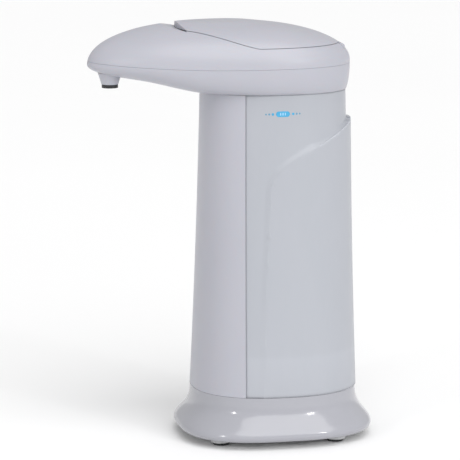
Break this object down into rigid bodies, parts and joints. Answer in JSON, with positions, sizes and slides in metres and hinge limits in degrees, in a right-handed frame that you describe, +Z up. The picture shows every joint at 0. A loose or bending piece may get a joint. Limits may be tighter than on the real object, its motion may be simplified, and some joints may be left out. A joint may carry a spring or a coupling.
{
  "type": "automatic soap dispenser",
  "caption": "Free-standing hands-free soap dispenser: flared base, translucent tank column, beak head with nozzle and hinged filler lid.",
  "frame": {"origin": "bottom centre of the whole object's box, on the surface that the feet stand on", "axes": "+Z up, beak and nozzle towards -Y, +X to the object's left side"},
  "size_m": [0.106, 0.1793, 0.2645],
  "materials": {
    "cover_satin": "satin moulded ABS, fine even grain",
    "base_gloss": "polished moulded ABS",
    "base_inner": "moulded ABS",
    "tank_translucent": "frosted translucent polypropylene",
    "inner_white": "moulded acetal",
    "gear_white": "moulded acetal",
    "nozzle_black": "black silicone",
    "foot_rubber": "black rubber",
    "seal_rubber": "grey silicone",
    "tube_clear": "clear silicone tube",
    "cable_black": "PVC sleeve",
    "window_dark": "infrared-pass acrylic",
    "lens_dark": "tinted epoxy",
    "led_clear": "clear epoxy",
    "board_green": "solder-masked laminate",
    "switch_black": "moulded nylon",
    "contact_metal": "nickel-plated spring steel",
    "screw_steel": "zinc-plated",
    "pin_steel": "ground steel",
    "motor_steel": "zinc-plated can",
    "cell_jacket": "printed metal jacket"
  },
  "bodies": {
    "housing": {"base_screws": "screw_steel", "base_skirt": "base_gloss", "battery_1": "cell_jacket", "battery_2": "cell_jacket", "battery_3": "cell_jacket", "battery_4": "cell_jacket", "battery_tray": "base_inner", "bottom_plate": "base_inner", "contact_plates": "contact_metal", "contact_springs": "contact_metal", "control_board": "board_green", "foot_pad_1": "foot_rubber", "foot_pad_2": "foot_rubber", "foot_pad_3": "foot_rubber", "foot_pad_4": "foot_rubber", "front_cover": "cover_satin", "head_lower_shell": "cover_satin", "head_screws": "screw_steel", "head_upper_shell": "cover_satin", "idler_pin": "pin_steel", "indicator_lens": "lens_dark", "inlet_seal": "seal_rubber", "ir_emitter": "led_clear", "ir_receiver": "lens_dark", "lid_hinge_pin": "pin_steel", "motor_can": "motor_steel", "motor_saddle": "inner_white", "nozzle_elbow": "inner_white", "nozzle_tip": "nozzle_black", "outlet_valve": "seal_rubber", "power_switch_body": "switch_black", "pump_cover": "inner_white", "pump_housing": "inner_white", "pump_screws": "screw_steel", "riser_tube": "tube_clear", "sensor_board": "board_green", "sensor_window": "window_dark", "shaft_seal": "seal_rubber", "soap_tank": "tank_translucent", "tank_strainer": "inner_white", "wire_harness": "cable_black"},
    "lid": {"lid": "cover_satin", "lid_gasket": "seal_rubber"},
    "battery_door": {"battery_door": "base_inner"},
    "power_switch": {"power_switch_knob": "switch_black"},
    "pump_drive": {"drive_gear": "gear_white", "motor_shaft": "pin_steel"},
    "pump_idler": {"idler_gear": "gear_white"}
  },
  "joints": [
    {"name": "lid_hinge", "type": "hinge", "parent": "housing", "child": "lid", "pos_m": [0, 0.06895, 0.2476], "axis": [-1, 0, 0], "range_deg": [0, 95]},
    {"name": "battery_door_hinge", "type": "hinge", "parent": "housing", "child": "battery_door", "pos_m": [0, 0.06215, 0.0065], "axis": [1, 0, 0], "range_deg": [0, 90]},
    {"name": "power_switch_slide", "type": "slide", "parent": "housing", "child": "power_switch", "axis": [1, 0, 0], "range_m": [0, 0.004]},
    {"name": "pump_drive_spin", "type": "hinge", "parent": "housing", "child": "pump_drive", "pos_m": [0, 0.04195, 0.044], "axis": [0, 1, 0], "continuous": true},
    {"name": "pump_idler_spin", "type": "hinge", "parent": "housing", "child": "pump_idler", "pos_m": [0.012, 0.04195, 0.044], "axis": [0, 1, 0], "continuous": true}
  ],
  "couplings": [
    {"joint": "pump_idler_spin", "follows": "pump_drive_spin", "ratio": -1}
  ]
}
